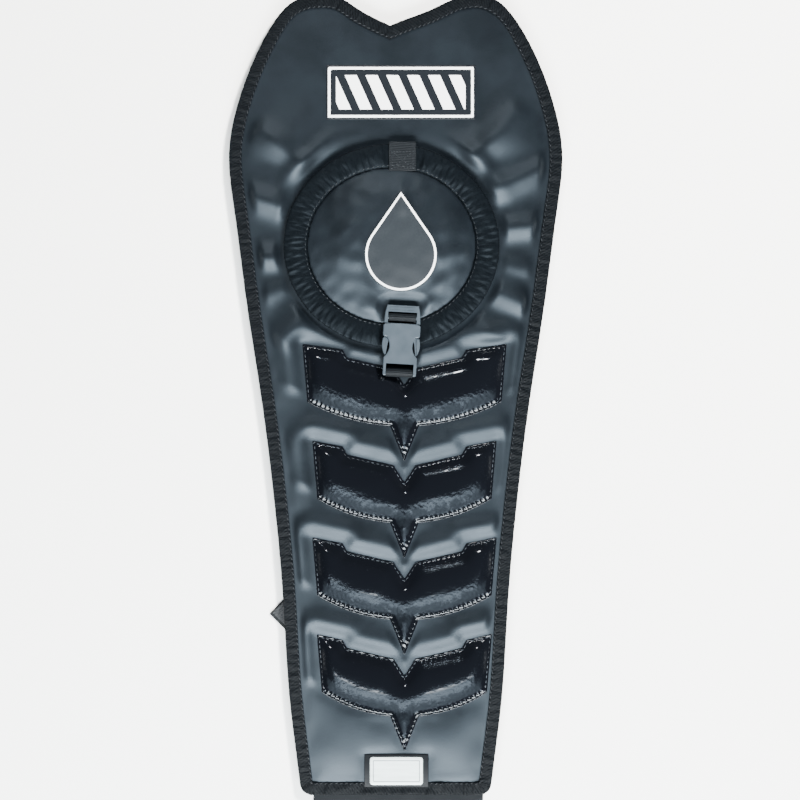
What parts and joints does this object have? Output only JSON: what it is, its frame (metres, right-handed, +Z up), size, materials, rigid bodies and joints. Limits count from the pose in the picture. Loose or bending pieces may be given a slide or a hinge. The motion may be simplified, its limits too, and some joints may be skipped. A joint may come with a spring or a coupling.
{
  "type": "motorcycle tank protector",
  "caption": "Padded leatherette tank protector with a round buckled filler-cap flap, glossy chevron pads, bound edges and underside straps.",
  "frame": {"origin": "on the resting surface, at the middle of the whole length and width, with the protector lying flat and its tongue laid out", "axes": "+Z up, out of the leatherette face; +Y towards the front of the motorcycle; +X towards the rider's right"},
  "size_m": [0.2402, 0.626, 0.0207],
  "materials": {
    "leatherette": "matte grained black leatherette",
    "patent_vinyl": "glossy black patent vinyl",
    "foam": "open-cell polyurethane foam",
    "lining": "black non-woven lining fabric",
    "binding_tape": "black ribbed binding tape",
    "webbing": "black woven polypropylene webbing",
    "hook_tape": "black hook-and-loop tape",
    "label_print": "printed leatherette patch, white on grey-black",
    "emblem_print": "printed dark grey patch with a white outline",
    "badge_silver": "silvered satin badge plate",
    "buckle_plastic": "moulded acetal, dark grey, satin"
  },
  "bodies": {
    "panel": {"panel_face": "leatherette", "panel_foam": "foam", "panel_lining": "lining", "edge_binding": "binding_tape", "filler_hole_binding": "binding_tape", "chevron_cover_1": "patent_vinyl", "chevron_cover_2": "patent_vinyl", "chevron_cover_3": "patent_vinyl", "chevron_cover_4": "patent_vinyl", "chevron_foam_1": "foam", "chevron_foam_2": "foam", "chevron_foam_3": "foam", "chevron_foam_4": "foam", "front_label": "label_print", "badge_frame": "leatherette", "badge_plate": "badge_silver", "anchor_webbing": "webbing", "tongue_seam": "lining", "strap_anchor_side_left": "webbing", "strap_anchor_side_right": "webbing", "strap_anchor_front_left": "webbing", "strap_anchor_front_right": "webbing"},
    "flap": {"flap_face": "leatherette", "flap_foam": "foam", "flap_lining": "lining", "flap_binding": "binding_tape", "flap_emblem": "emblem_print", "flap_webbing": "webbing", "buckle_plug": "buckle_plastic", "buckle_plug_core": "buckle_plastic", "hinge_webbing": "webbing"},
    "prong_left": {"prong_left": "buckle_plastic"},
    "prong_right": {"prong_right": "buckle_plastic"},
    "socket": {"buckle_socket": "buckle_plastic"},
    "strap_side_left": {"strap_side_left": "webbing", "strap_hook_side_left": "hook_tape"},
    "strap_side_right": {"strap_side_right": "webbing", "strap_hook_side_right": "hook_tape"},
    "strap_front_left": {"strap_front_left": "webbing", "strap_hook_front_left": "hook_tape"},
    "strap_front_right": {"strap_front_right": "webbing", "strap_hook_front_right": "hook_tape"},
    "tongue": {"rear_tongue": "lining"}
  },
  "joints": [
    {"name": "flap_hinge", "type": "hinge", "parent": "panel", "child": "flap", "pos_m": [0.0049, 0.2062, 0.0114], "axis": [-1, 0, 0], "range_deg": [0, 165], "deforming": ["hinge_webbing", "flap_binding", "buckle_plug_core", "prong_left", "prong_right"]},
    {"name": "prong_left_squeeze", "type": "hinge", "parent": "flap", "child": "prong_left", "pos_m": [-0.00432, 0.07191, 0.0172], "axis": [0, 0, 1], "range_deg": [0, 7], "stiffness_Nm_per_rad": 0.3},
    {"name": "prong_right_squeeze", "type": "hinge", "parent": "flap", "child": "prong_right", "pos_m": [0.01306, 0.07091, 0.0172], "axis": [0, 0, -1], "range_deg": [0, 7], "stiffness_Nm_per_rad": 0.3},
    {"name": "socket_swing", "type": "hinge", "parent": "panel", "child": "socket", "pos_m": [0.0026, 0.04066, 0.0172], "axis": [0.9983, -0.0576, 0], "range_deg": [0, 150]},
    {"name": "strap_side_left_fold", "type": "hinge", "parent": "panel", "child": "strap_side_left", "pos_m": [-0.0208, -0.0768, 0], "axis": [0.7071, -0.7071, 0], "range_deg": [0, 90]},
    {"name": "strap_side_right_fold", "type": "hinge", "parent": "panel", "child": "strap_side_right", "pos_m": [0.0208, -0.0768, 0], "axis": [0.9397, 0.342, 0], "range_deg": [0, 90]},
    {"name": "strap_front_left_fold", "type": "hinge", "parent": "panel", "child": "strap_front_left", "pos_m": [-0.052, 0.268, 0], "axis": [1, 0, 0], "range_deg": [0, 90]},
    {"name": "strap_front_right_fold", "type": "hinge", "parent": "panel", "child": "strap_front_right", "pos_m": [0.052, 0.268, 0], "axis": [1, 0, 0], "range_deg": [0, 90]},
    {"name": "tongue_fold", "type": "hinge", "parent": "panel", "child": "tongue", "pos_m": [0.0018, -0.263, 0], "axis": [1, 0, 0], "range_deg": [0, 90]}
  ],
  "couplings": [
    {"joint": "prong_right_squeeze", "follows": "prong_left_squeeze", "ratio": 1}
  ]
}
